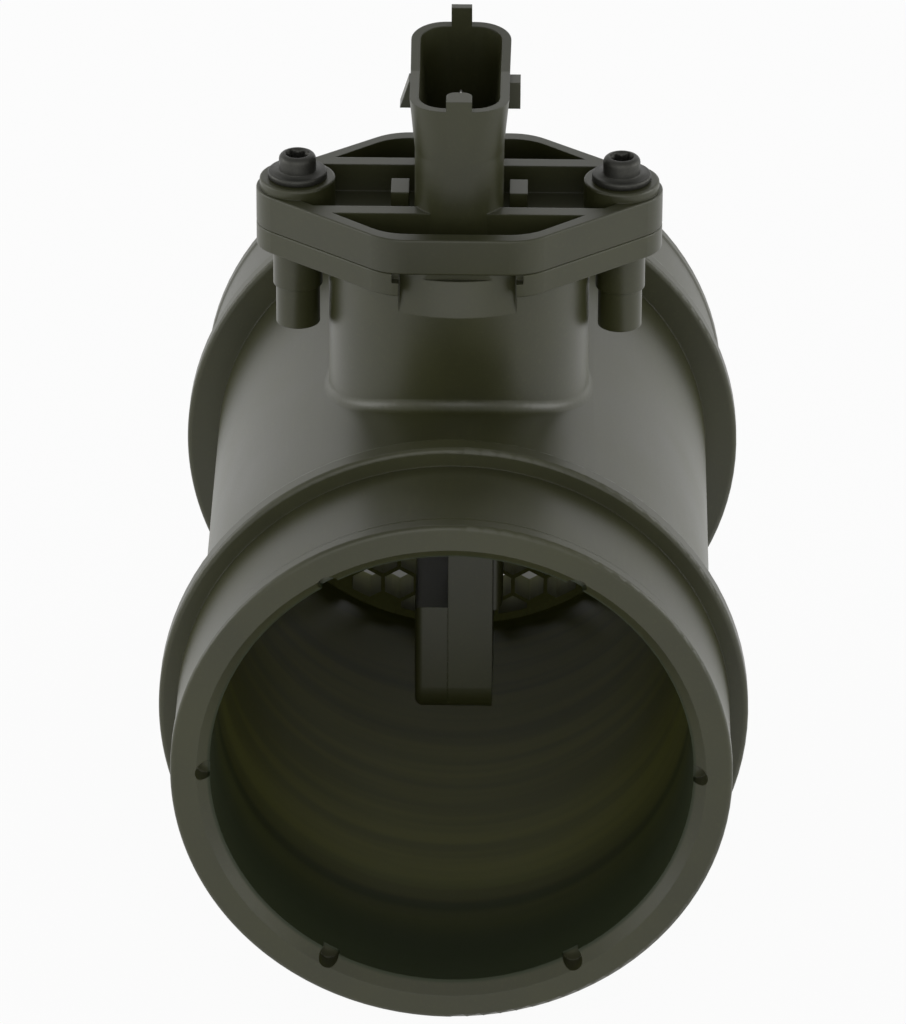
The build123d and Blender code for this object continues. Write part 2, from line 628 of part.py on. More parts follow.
def flange_screw(side):
    """Washer-head screw with a six-lobe recess."""
    x = side * ear_x
    z = pad_top
    shank = pillar(x, SOCKET_Y, z - SCREW_LEN, z, SCREW_D)
    shank = chamfer(shank.edges().group_by(Axis.Z)[0], SCREW_D / 6)
    washer = pillar(x, SOCKET_Y, z, z + SCREW_FLANGE_T, SCREW_FLANGE_D)
    washer = fillet(washer.edges().group_by(Axis.Z)[-1], SCREW_FLANGE_T / 3)
    top = z + SCREW_FLANGE_T + SCREW_HEAD_H
    head = pillar(x, SOCKET_Y, z, top, SCREW_HEAD_D)
    head = fillet(head.edges().group_by(Axis.Z)[-1], SCREW_HEAD_H / 3)
    reach = LOBE_D / 2 - LOBE_R
    recess = Circle(reach)
    for k in range(LOBES):
        recess += Rot(0, 0, 360 / LOBES * k) * Pos(reach, 0) * Circle(LOBE_R)
    recess = Pos(x, SOCKET_Y, top - LOBE_DEPTH) * extrude(recess, LOBE_DEPTH + OVER)
    return shank + washer + head - recess


def main():
    """Build every piece and write each to its own file."""
    pieces = {
        "tube_housing": tube_housing(),
        "flow_grid": flow_grid(),
        "grid_retaining_ring": grid_retaining_ring(),
        "sensor_housing": sensor_housing(),
        "plug_seal": plug_seal(),
        "electronics_cover": electronics_cover(),
        "channel_cover": channel_cover(),
        "base_plate": base_plate(),
        "hybrid_board": hybrid_board(),
        "signal_chip": signal_chip(),
        "sensor_carrier": sensor_carrier(),
        "sensing_chip": sensing_chip(),
        "air_thermistor": air_thermistor(),
    }
    for index in range(PIN_COUNT):
        pieces[f"terminal_{index + 1}"] = terminal(index)
    for number, side in ((1, -1), (2, 1)):
        pieces[f"capacitor_{number}"] = capacitor(side)
    for name, side in (("left", -1), ("right", 1)):
        pieces[f"clamp_sleeve_{name}"] = clamp_sleeve(side)
        pieces[f"flange_screw_{name}"] = flange_screw(side)
    os.makedirs("parts", exist_ok=True)
    for name, shape in pieces.items():
        export_step(shape, f"parts/{name}.step")


main()
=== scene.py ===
"""Looks of a plug-in mass airflow sensor: moulded plastics, threaded screws, metals and a plain studio.

Metres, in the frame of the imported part: the duct lies along +Y with its outlet face at Y = 0,
+Z points up through the connector and +X is to the right of someone who looks into the outlet.
"""
import math

import bpy
import numpy as np
from mathutils import Matrix, Vector


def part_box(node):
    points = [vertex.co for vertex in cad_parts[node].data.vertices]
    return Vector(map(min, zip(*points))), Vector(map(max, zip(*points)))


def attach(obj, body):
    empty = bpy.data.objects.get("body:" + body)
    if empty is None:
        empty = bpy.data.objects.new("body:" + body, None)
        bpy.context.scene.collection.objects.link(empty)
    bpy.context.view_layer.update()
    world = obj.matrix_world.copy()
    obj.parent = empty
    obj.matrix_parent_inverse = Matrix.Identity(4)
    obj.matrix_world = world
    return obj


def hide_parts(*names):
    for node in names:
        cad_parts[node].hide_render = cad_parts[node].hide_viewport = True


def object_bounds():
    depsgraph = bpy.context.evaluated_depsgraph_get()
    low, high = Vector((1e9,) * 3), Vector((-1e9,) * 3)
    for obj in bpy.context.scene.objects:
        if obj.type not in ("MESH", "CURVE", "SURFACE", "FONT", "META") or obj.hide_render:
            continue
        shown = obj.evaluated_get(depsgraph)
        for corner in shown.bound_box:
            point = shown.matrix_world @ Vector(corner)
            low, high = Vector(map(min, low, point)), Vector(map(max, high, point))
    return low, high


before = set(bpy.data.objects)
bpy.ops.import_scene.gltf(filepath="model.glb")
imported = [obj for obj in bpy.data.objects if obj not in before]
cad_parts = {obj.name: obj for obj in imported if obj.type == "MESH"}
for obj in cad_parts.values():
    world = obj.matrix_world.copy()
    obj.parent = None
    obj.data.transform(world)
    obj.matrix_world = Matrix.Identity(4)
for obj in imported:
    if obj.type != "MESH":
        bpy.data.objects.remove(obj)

bl_info = {
    "name": "Mass airflow sensor looks",
    "version": (1, 0, 0),
    "blender": (4, 5, 0),
    "location": "View3D > Sidebar > Airflow",
    "description": "Finishes and fine pieces of a plug-in mass airflow sensor, with a plain studio",
    "category": "Object",
}

MM = 0.001
BODY = "root"
CAD_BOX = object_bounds()
IMAGE_SIZE = (906, 1024)
PAPER_WHITE = (1.0, 1.0, 1.0, 1.0)
BORE_R = 34.6 * MM           # the wall of the measuring bore lies inside this radius
MOUTH_END = 22 * MM          # where the flared mouth ends and the polished bore begins
FADE_BEFORE_END = 12 * MM         # the polish and the painted light of the bore fade in from this far before the mouth's end
FULL_POLISH = 14 * MM        # and both are full this far behind it
NEEDLE = 0.02 * MM           # radius that stands for a point on a screw's axis
FLOOR_REACH = 0.95           # the floor ends short of the side lamps
# Soft lamps: place, width, height, the setting that gives their power, and whether gloss shows them.
LAMPS = {
    "left_lamp": ((-1.05, 0.10, 0.24), 0.9, 0.5, "side", True),
    "right_lamp": ((1.05, 0.10, 0.24), 0.9, 0.5, "side", True),
    "front_lamp": ((0.0, -1.15, 0.60), 1.2, 1.2, "front", True),
    "rear_lamp": ((0.0, 1.30, 0.60), 1.2, 1.2, "front", False),
}


# ---------------------------------------------------------------- settings
def colour_setting(name, description, default):
    """A colour that a user may change."""
    return bpy.props.FloatVectorProperty(
        name=name, description=description, default=default, subtype="COLOR", size=3, min=0.0, max=1.0)


def size_setting(name, description, default):
    """A length in metres that a user may change."""
    return bpy.props.FloatProperty(
        name=name, description=description, default=default, min=0.0, precision=6,
        subtype="DISTANCE", unit="LENGTH")


def angle_setting(name, description, default):
    """An angle in radians that a user may change."""
    return bpy.props.FloatProperty(
        name=name, description=description, default=default, subtype="ANGLE", unit="ROTATION")


def power_setting(name, description, default):
    """A power in watts that a user may change."""
    return bpy.props.FloatProperty(name=name, description=description, default=default, unit="POWER")


def share_setting(name, description, default):
    """A number from 0 to 1 that a user may change."""
    return bpy.props.FloatProperty(
        name=name, description=description, default=default, min=0.0, max=1.0, subtype="FACTOR")


class AirflowPlastics(bpy.types.PropertyGroup):
    """Colours and grain of the moulded plastics."""
    duct: colour_setting("Duct", "Glass-filled nylon of the duct", (0.036, 0.0375, 0.0115))
    # painted light: the bore's colour is lighter than the duct's own plastic, to stand for the light
    # that reaches the bore's wall
    bore: colour_setting("Bore", "Polished wall of the measuring bore", (0.120, 0.124, 0.028))
    # painted shade: the mouth's colour is darker than the duct's own plastic, to stand for the shade in
    # the mouth
    mouth: colour_setting("Mouth", "Eroded wall of the flared mouth", (0.013, 0.020, 0.002))
    module: colour_setting("Module", "Polyester of the plug-in module", (0.034, 0.0355, 0.0125))
    cover: colour_setting("Covers", "Polyester of the two covers of the stalk", (0.032, 0.033, 0.012))
    grid: colour_setting("Grid", "Nylon of the flow grid and its ring", (0.085, 0.088, 0.022))
    carrier: colour_setting("Carrier", "Black tongue under the sensing chip", (0.012, 0.012, 0.012))
    grain: size_setting("Grain", "Width of a spark-eroded grain of the mould", 0.32 * MM)
    depth: size_setting("Grain depth", "Height of the grain", 0.010 * MM)
    cloud: size_setting("Clouding", "Width of the patches of uneven gloss", 14 * MM)
    roughness: share_setting("Roughness", "Mean roughness of the moulded skin", 0.34)
    bore_roughness: share_setting("Bore roughness", "Roughness of the measuring bore", 0.36)
    mouth_roughness: share_setting("Mouth roughness", "Roughness of the flared mouth", 0.54)


class AirflowMetals(bpy.types.PropertyGroup):
    """Colours of the metal pieces."""
    screw: colour_setting("Screws", "Dark zinc-flake coat", (0.050, 0.050, 0.043))
    sleeve: colour_setting("Sleeves", "Zinc-plated turned steel", (0.60, 0.59, 0.55))
    tin: colour_setting("Tin", "Tinned blades and leads", (0.70, 0.69, 0.66))
    sheet: colour_setting("Base plate", "Rolled aluminium", (0.72, 0.73, 0.74))
    pitch: size_setting("Thread pitch", "Pitch of the thread-forming screws", 1.41 * MM)
    thread: size_setting("Thread depth", "Depth of the thread-forming thread", 0.48 * MM)


class AirflowCircuit(bpy.types.PropertyGroup):
    """Colours of the circuit and the seal."""
    ceramic: colour_setting("Ceramic", "Fired alumina board", (0.78, 0.77, 0.71))
    track: colour_setting("Tracks", "Printed silver-palladium conductors", (0.42, 0.42, 0.40))
    epoxy: colour_setting("Chip", "Moulded epoxy", (0.018, 0.018, 0.020))
    dielectric: colour_setting("Capacitor", "Fired body of the chip capacitors", (0.36, 0.23, 0.12))
    silicon: colour_setting("Silicon", "Polished silicon of the sensing chip", (0.11, 0.12, 0.17))
    bead: colour_setting("Bead", "Glazed thermistor bead", (0.030, 0.045, 0.030))
    rubber: colour_setting("Seal", "Fluorosilicone rubber", (0.012, 0.012, 0.013))


class AirflowStudio(bpy.types.PropertyGroup):
    """Camera and light of the studio."""
    elevation: angle_setting("Elevation", "Camera above the horizon", 0.47832)
    yaw: angle_setting("Yaw", "Camera round the upright", 0.01343)
    roll: angle_setting("Roll", "Camera about its own axis", 0.00443)
    distance: size_setting("Distance", "Camera to the point it looks at", 1200 * MM)
    target: bpy.props.FloatVectorProperty(
        name="Target", description="Point that the camera looks at", size=3, subtype="TRANSLATION",
        unit="LENGTH", default=(-0.587 * MM, 50 * MM, 16.411 * MM))
    focal_pixels: bpy.props.FloatProperty(
        name="Focal length", description="Focal length in pixels of the picture", default=8188.65)
    floor: share_setting("Floor", "Brightness of the pale floor", 0.90)
    paper: share_setting("Paper", "How far the floor is plain white to the camera and in gloss", 0.95)
    ambient: share_setting("Ambient", "World light on matt surfaces, from the horizon", 0.45)
    zenith: share_setting("Zenith", "World light on matt surfaces, from overhead", 0.12)
    ceiling: share_setting("Ceiling", "World light in gloss, from overhead", 0.50)
    side: power_setting("Side lamps", "Power of each side lamp", 3.4)
    front: power_setting("Front and rear lamps", "Power of the lamp in front and of the one behind", 3.6)


# ---------------------------------------------------------------- shader writing
class Value:
    """A socket that is used in Python expressions: each operator adds a Math node."""

    def __init__(self, owner, socket):
        self.owner = owner
        self.socket = socket

    def __add__(self, other):
        return self.owner.maths("ADD", self, other)

    def __sub__(self, other):
        return self.owner.maths("SUBTRACT", self, other)

    def __mul__(self, other):
        return self.owner.maths("MULTIPLY", self, other)

    def __truediv__(self, other):
        return self.owner.maths("DIVIDE", self, other)

    def __radd__(self, other):
        return self.owner.maths("ADD", other, self)

    def __rsub__(self, other):
        return self.owner.maths("SUBTRACT", other, self)

    def __rmul__(self, other):
        return self.owner.maths("MULTIPLY", other, self)

    def __rtruediv__(self, other):
        return self.owner.maths("DIVIDE", other, self)

    def over(self, low, high):
        """0 below low, 1 above high and smooth between them."""
        return self.owner.node(
            "ShaderNodeMapRange", {"interpolation_type": "SMOOTHSTEP"},
            {"Value": self, "From Min": low, "From Max": high})


class Tree:
    """An empty node tree of a material or a world, written by calls."""

    def __init__(self, owner):
        owner.use_nodes = True
        self.tree = owner.node_tree
        self.tree.nodes.clear()

    def node(self, kind, settings, values, output=0):
        """Any node: its settings first, then the values or links of its sockets."""
        made = self.tree.nodes.new(kind)
        for name, value in settings.items():
            setattr(made, name, value)
        for name, value in values.items():
            self.connect(value, made.inputs[name])
        return None if output is None else Value(self, made.outputs[output])

    def connect(self, value, socket):
        """Links a Value to a socket, or sets the socket to a plain number or colour."""
        if isinstance(value, Value):
            self.tree.links.new(value.socket, socket)
        else:
            socket.default_value = value

    def maths(self, operation, *values):
        """A Math node."""
        return self.node("ShaderNodeMath", {"operation": operation}, dict(enumerate(values)))

    def vector(self, operation, *values, output=0):
        """A Vector Math node."""
        return self.node(
            "ShaderNodeVectorMath", {"operation": operation}, dict(enumerate(values)), output)

    def mapped(self, place, shift=(0, 0, 0), scale=(1, 1, 1)):
        """The place, moved and then stretched."""
        moved = self.vector("ADD", place, shift)
        return self.vector("MULTIPLY", moved, scale)

    def axes(self, place):
        """The three numbers of a place."""
        split = self.tree.nodes.new("ShaderNodeSeparateXYZ")
        self.connect(place, split.inputs[0])
        return [Value(self, socket) for socket in split.outputs]

    def noise(self, place, size, detail=2.0, roughness=0.5):
        """Smooth noise from 0 to 1 whose patches are about one size wide."""
        return self.node(
            "ShaderNodeTexNoise", {"noise_dimensions": "3D"},
            {"Vector": place, "Scale": 1 / size, "Detail": detail, "Roughness": roughness})

    def mixed(self, share, first, second):
        """A colour between two, by a share."""
        return self.node(
            "ShaderNodeMix", {"data_type": "RGBA"}, {0: share, 6: opaque(first), 7: opaque(second)}, 2)

    def bump(self, height, depth, below=None):
        """Relief of a height from 0 to 1 that is that deep, over another relief."""
        values = {"Height": height, "Distance": depth, "Strength": 1.0}
        if below is not None:
            values["Normal"] = below
        return self.node("ShaderNodeBump", {}, values)

    def edges(self, radius):
        """The surface's direction with its sharp edges rounded off, and how far it bends there."""
        smooth = self.node("ShaderNodeBevel", {"samples": 3}, {"Radius": radius})
        flat = self.node("ShaderNodeNewGeometry", {}, {}, "Normal")
        return smooth, 1 - self.vector("DOT_PRODUCT", smooth, flat, output="Value")

    def ray_kinds(self):
        """1 on rays that come through glass, off gloss and straight to the camera."""
        return [self.node("ShaderNodeLightPath", {}, {}, f"Is {kind} Ray")
                for kind in ("Transmission", "Glossy", "Camera")]


class Paint(Tree):
    """A material with one Principled shader, built up by calls."""

    def __init__(self, name, **constants):
        self.material = bpy.data.materials.new(name)
        super().__init__(self.material)
        self.output = self.tree.nodes.new("ShaderNodeOutputMaterial")
        self.shader = self.tree.nodes.new("ShaderNodeBsdfPrincipled")
        self.tree.links.new(self.shader.outputs[0], self.output.inputs["Surface"])
        for socket, value in constants.items():
            self.shader.inputs[socket.replace("_", " ")].default_value = value
        self.place = Value(self, self.tree.nodes.new("ShaderNodeTexCoord").outputs["Object"])

    def finish(self, **inputs):
        """Feeds what varies over the surface to the shader and gives back the material."""
        for name, value in inputs.items():
            self.connect(value, self.shader.inputs[name.replace("_", " ")])
        return self.material


def opaque(colour):
    """A plain colour with its alpha; a Value is left as it is."""
    if isinstance(colour, Value) or len(colour) == 4:
        return colour
    return (*colour, 1.0)


def shade(colour, factor):
    """A colour made lighter or darker."""
    return tuple(min(1.0, part * factor) for part in colour)


def coat(material, *nodes):
    """Gives CAD nodes a material."""
    for name in nodes:
        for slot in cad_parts[name].material_slots:
            slot.material = material


# ---------------------------------------------------------------- materials
def moulded(name, colour, plastics, gloss=0.0, edge=0.25 * MM, bore=0.0, density=1.52):
    """Moulded plastic: eroded grain, glass-fibre streaks, uneven gloss and edges painted paler as
    highlights.

    Inside a bore's radius the mouth is rough and painted dark as shade, and the wall behind it polished
    and painted lighter as light, with rings painted as streaks of light and a painted shadow line where
    the mouth ends.
    """
    paint = Paint(name, IOR=density)
    place = paint.place
    grain = paint.noise(place, plastics.grain, detail=3.0, roughness=0.6)
    cloud = paint.noise(place, plastics.cloud, detail=3.0)
    fibre = paint.noise(paint.mapped(place, scale=(1.0, 0.12, 1.0)), 2 * plastics.grain, detail=2.0)
    fleck = paint.noise(place, 0.5 * plastics.grain, detail=1.0).over(0.66, 0.74)
    smooth, bend = paint.edges(edge)
    # painted highlight: on the plastics the edge mask lightens the colour where light catches the
    # rounded edges, which is not wear
    edge_wear_and_highlight = bend.over(0.02, 0.30) * cloud.over(0.30, 0.62)
    tone = paint.mixed(cloud.over(0.25, 0.75), shade(colour, 0.86), shade(colour, 1.12))
    tone = paint.mixed(fibre.over(0.50, 0.80) * 0.35, tone, shade(colour, 1.45))
    tone = paint.mixed(fleck * 0.30, tone, shade(colour, 2.2))
    # painted highlight on the edges
    tone = paint.mixed(edge_wear_and_highlight * 0.20, tone, shade(colour, 2.4))
    rough = plastics.roughness - gloss + cloud * 0.10 + grain * 0.06 - edge_wear_and_highlight * 0.10
    height = grain * 0.8 + fibre * 0.2
    if bore:
        across, along, up = paint.axes(place)
        inside = 1 - paint.maths("SQRT", across * across + up * up).over(bore, bore + 0.4 * MM)
        polished_and_lit = inside * along.over(MOUTH_END - FADE_BEFORE_END, MOUTH_END + FULL_POLISH)
        # rings: roughness of the polish, and in colour painted streaks of light along the bore
        rings = paint.noise(paint.mapped(place, scale=(0.06, 1.0, 0.06)), 4.5 * MM, detail=2.0)
        # painted shadow: a dark line where the mouth ends
        step_shadow = 1 - paint.maths("ABSOLUTE", along - MOUTH_END).over(0.5 * MM, 2.5 * MM)
        wall = paint.mixed(
            rings.over(0.35, 0.65), shade(plastics.bore, 0.80), shade(plastics.bore, 1.20))
        # painted shade in the mouth, turning to painted light on the bore's wall
        wall = paint.mixed(polished_and_lit, plastics.mouth, wall)
        tone = paint.mixed(inside, tone, paint.mixed(step_shadow * 0.75, wall, plastics.mouth))
        rough = rough + inside * (plastics.mouth_roughness - plastics.roughness + rings * 0.08)
        rough = rough - polished_and_lit * (plastics.mouth_roughness - plastics.bore_roughness)
        height = height * (1 - polished_and_lit * 0.8)
    relief = paint.bump(height, plastics.depth, smooth)
    return paint.finish(Base_Color=tone, Roughness=rough, Normal=relief)


def rubber(colour):
    """Moulded rubber with a faint bloom."""
    paint = Paint("seal_rubber", IOR=1.5)
    bloom = paint.noise(paint.place, 2.5 * MM, detail=4.0)
    skin = paint.noise(paint.place, 0.12 * MM, detail=2.0)
    tone = paint.mixed(bloom.over(0.45, 0.75) * 0.5, colour, shade(colour, 2.5))
    relief = paint.bump(skin, 0.004 * MM)
    return paint.finish(Base_Color=tone, Roughness=0.55 + bloom * 0.2, Normal=relief)


def rolled_sheet(colour):
    """Rolled aluminium: fine lines along Z."""
    paint = Paint("aluminium_sheet", Metallic=1.0)
    lines = paint.noise(paint.mapped(paint.place, scale=(1.0, 1.0, 0.02)), 0.06 * MM, detail=2.0)
    stain = paint.noise(paint.place, 4 * MM, detail=3.0)
    tone = paint.mixed(stain.over(0.3, 0.7), shade(colour, 0.88), colour)
    relief = paint.bump(lines, 0.003 * MM)
    return paint.finish(Base_Color=tone, Roughness=0.26 + lines * 0.18, Normal=relief)


def turned_steel(colour):
    """Plated turned steel: tool rings up the sleeve."""
    paint = Paint("sleeve_steel", Metallic=1.0)
    rings = paint.noise(paint.mapped(paint.place, scale=(0.02, 0.02, 1.0)), 0.09 * MM, detail=2.0)
    bloom = paint.noise(paint.place, 1.6 * MM, detail=3.0)
    tone = paint.mixed(bloom.over(0.35, 0.7), colour, shade(colour, 0.80))
    relief = paint.bump(rings, 0.006 * MM)
    return paint.finish(Base_Color=tone, Roughness=0.30 + bloom * 0.16, Normal=relief)


def flake_coat(colour):
    """Dark zinc-flake coat: overlapping flakes, rubbed bright on the edges that a driver touches."""
    paint = Paint("screw_coat", IOR=1.5)
    flake = paint.node(
        "ShaderNodeTexVoronoi", {"feature": "F1"},
        {"Vector": paint.place, "Scale": 1 / (0.10 * MM)}, "Color")
    light = paint.axes(flake)[0]
    dust = paint.noise(paint.place, 0.9 * MM, detail=4.0)
    smooth, bend = paint.edges(0.12 * MM)
    # on the screw coat the edge mask is rubbed wear of the coat
    edge_wear_and_highlight = bend.over(0.03, 0.25) * dust.over(0.4, 0.6)
    tone = paint.mixed(light * 0.6, shade(colour, 0.7), shade(colour, 1.6))
    tone = paint.mixed(edge_wear_and_highlight * 0.6, tone, (0.33, 0.33, 0.31))
    metal = 0.45 + light * 0.25 + edge_wear_and_highlight * 0.3
    relief = paint.bump(light * 0.6 + dust * 0.4, 0.006 * MM, smooth)
    return paint.finish(Base_Color=tone, Metallic=metal, Roughness=0.36 + dust * 0.18, Normal=relief)


def tinned(name, colour):
    """Tin plate: soft grain and faint drawing lines along Z."""
    paint = Paint(name, Metallic=1.0)
    lines = paint.noise(paint.mapped(paint.place, scale=(1.0, 1.0, 0.04)), 0.05 * MM, detail=2.0)
    bloom = paint.noise(paint.place, 0.8 * MM, detail=3.0)
    tone = paint.mixed(bloom.over(0.35, 0.7), shade(colour, 0.84), colour)
    relief = paint.bump(lines, 0.003 * MM)
    return paint.finish(Base_Color=tone, Roughness=0.24 + bloom * 0.2, Normal=relief)


def printed_ceramic(colour, track):
    """Alumina board with printed conductors on a fine pitch."""
    paint = Paint("ceramic_board", IOR=1.7)
    low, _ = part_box("hybrid_board")
    _, along, up = paint.axes(paint.mapped(paint.place, shift=tuple(-low)))
    sheet = paint.node("ShaderNodeCombineXYZ", {}, {0: along, 1: up})
    tracks = paint.node(
        "ShaderNodeTexBrick", {"offset": 0.37, "squash": 1.6, "squash_frequency": 3},
        {"Vector": sheet, "Scale": 1.0, "Mortar Size": 0.16 * MM, "Mortar Smooth": 0.1,
         "Brick Width": 3.1 * MM, "Row Height": 1.9 * MM}, "Fac")
    pores = paint.noise(paint.place, 0.15 * MM, detail=3.0)
    body = paint.mixed(pores.over(0.3, 0.8), colour, shade(colour, 0.90))
    tone = paint.mixed(tracks, body, track)
    return paint.finish(
        Base_Color=tone, Metallic=tracks * 0.8, Roughness=0.62 - tracks * 0.22,
        Normal=paint.bump(tracks + pores * 0.2, 0.012 * MM))


def epoxy(colour):
    """Moulded epoxy with its filler showing and a round first-lead mark."""
    paint = Paint("chip_epoxy", IOR=1.55)
    low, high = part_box("signal_chip")
    mark = Vector((high.x, low.y + 0.9 * MM, high.z - 0.9 * MM))
    far = paint.vector("DISTANCE", paint.place, tuple(mark), output="Value")
    dimple = 1 - far.over(0.28 * MM, 0.34 * MM)
    filler = paint.noise(paint.place, 0.05 * MM, detail=2.0)
    tone = paint.mixed(filler.over(0.6, 0.75) * 0.4, colour, shade(colour, 3.0))
    tone = paint.mixed(dimple * 0.5, tone, shade(colour, 4.0))
    relief = paint.bump(filler - dimple * 2.0, 0.004 * MM)
    return paint.finish(Base_Color=tone, Roughness=0.58 - dimple * 0.3, Normal=relief)


def chip_capacitor(colour, tin):
    """Ceramic capacitor with tinned ends above and below."""
    paint = Paint("capacitor_body", IOR=1.6)
    low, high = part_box("capacitor_1")
    up = paint.axes(paint.place)[2]
    from_middle = paint.maths("ABSOLUTE", up - (low.z + high.z) / 2)
    cap = from_middle.over((high.z - low.z) * 0.28, (high.z - low.z) * 0.30)
    speck = paint.noise(paint.place, 0.08 * MM, detail=2.0)
    body = paint.mixed(speck.over(0.4, 0.7), colour, shade(colour, 1.3))
    return paint.finish(
        Base_Color=paint.mixed(cap, body, tin), Metallic=cap, Roughness=0.34 + speck * 0.12,
        Normal=paint.bump(speck, 0.003 * MM))


def sensing_silicon(colour):
    """Silicon with a thin membrane in its middle and a heater meander on it."""
    paint = Paint("sensing_silicon", IOR=3.4, Coat_Weight=0.3)
    low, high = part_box("sensing_chip")
    middle = (low + high) / 2
    centred = paint.mapped(paint.place, shift=tuple(-middle))
    _, along, up = paint.axes(centred)
    window = paint.maths("MAXIMUM", paint.maths("ABSOLUTE", along), paint.maths("ABSOLUTE", up))
    membrane = 1 - window.over(0.62 * MM, 0.66 * MM)
    meander = paint.maths("SINE", along * (2 * math.pi / (0.22 * MM))).over(0.1, 0.3) * membrane
    grain = paint.noise(paint.place, 0.3 * MM)
    tone = paint.mixed(membrane, colour, (0.08, 0.15, 0.10))
    tone = paint.mixed(meander, tone, (0.60, 0.58, 0.52))
    return paint.finish(
        Base_Color=tone, Metallic=meander * 0.9, Roughness=0.12 + grain * 0.08 + meander * 0.15,
        Normal=paint.bump(meander - membrane, 0.004 * MM))


def glazed_bead(colour, tin):
    """Glass-coated bead on tinned leads: the bead is what lies round the cross lead's middle."""
    paint = Paint("thermistor_bead", IOR=1.5, Coat_Weight=0.6, Coat_Roughness=0.08)
    low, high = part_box("air_thermistor")
    _, along, up = paint.axes(paint.place)
    far_up = paint.maths("ABSOLUTE", up - (low.z + high.z) / 2)
    ahead = along.over(high.y - 1.85 * MM, high.y - 1.80 * MM)
    bead = (1 - far_up.over(1.80 * MM, 1.82 * MM)) * ahead
    ripple = paint.noise(paint.place, 0.5 * MM)
    return paint.finish(
        Base_Color=paint.mixed(bead, tin, colour), Metallic=1 - bead,
        Roughness=0.30 - bead * 0.18 + ripple * 0.05, Normal=paint.bump(ripple, 0.01 * MM))


def pale_floor(brightness, paper):
    """Pale paper that the camera and gloss see mostly as plain white, with the object's shadow kept."""
    paint = Paint("studio_paper", Roughness=0.9)
    fleck = paint.noise(paint.place, 1.5 * MM, detail=2.0)
    tone = paint.mixed(fleck, (brightness,) * 3, (brightness * 0.98,) * 3)
    paint.finish(Base_Color=tone)
    through, glossy, seen = paint.ray_kinds()
    shown = paint.maths("MAXIMUM", paint.maths("MAXIMUM", through, glossy), seen)
    white = paint.node("ShaderNodeEmission", {}, {"Color": PAPER_WHITE, "Strength": 1.0})
    lit = Value(paint, paint.shader.outputs[0])
    surface = paint.node("ShaderNodeMixShader", {}, {0: shown * paper, 1: lit, 2: white})
    paint.connect(surface, paint.output.inputs["Surface"])
    return paint.material


# ---------------------------------------------------------------- surfaces
def sheet_mesh(name, points, round_across=False):
    """A mesh from a grid of points, rows by columns; across may close on itself."""
    rows, columns = points.shape[:2]
    row = np.arange(rows - 1)[:, None]
    column = np.arange(columns if round_across else columns - 1)[None, :]
    after = (column + 1) % columns
    corners = [row * columns + column, row * columns + after,
               (row + 1) * columns + after, (row + 1) * columns + column]
    faces = np.stack([np.broadcast_to(c, (rows - 1, column.size)) for c in corners], axis=-1)
    mesh = bpy.data.meshes.new(name)
    mesh.from_pydata(points.reshape(-1, 3).tolist(), [], faces.reshape(-1, 4).tolist())
    mesh.update()
    return mesh


def placed(mesh, material):
    """An object of that mesh at the origin, with its material."""
    mesh.materials.append(material)
    made = bpy.data.objects.new(mesh.name, mesh)
    bpy.context.scene.collection.objects.link(made)
    return made


def between(ends, count):
    """Evenly spaced points of a straight run, without its last one."""
    start, end = np.array(ends[0], float), np.array(ends[1], float)
    return start + (end - start) * np.linspace(0, 1, count, endpoint=False)[:, None]


def corner(middle, radius, first, last, count=6):
    """Points of an arc about middle, from one angle to another, in degrees."""
    angle = np.radians(np.linspace(first, last, count))
    return np.array(middle, float) + radius * np.stack([np.cos(angle), np.sin(angle)], axis=-1)


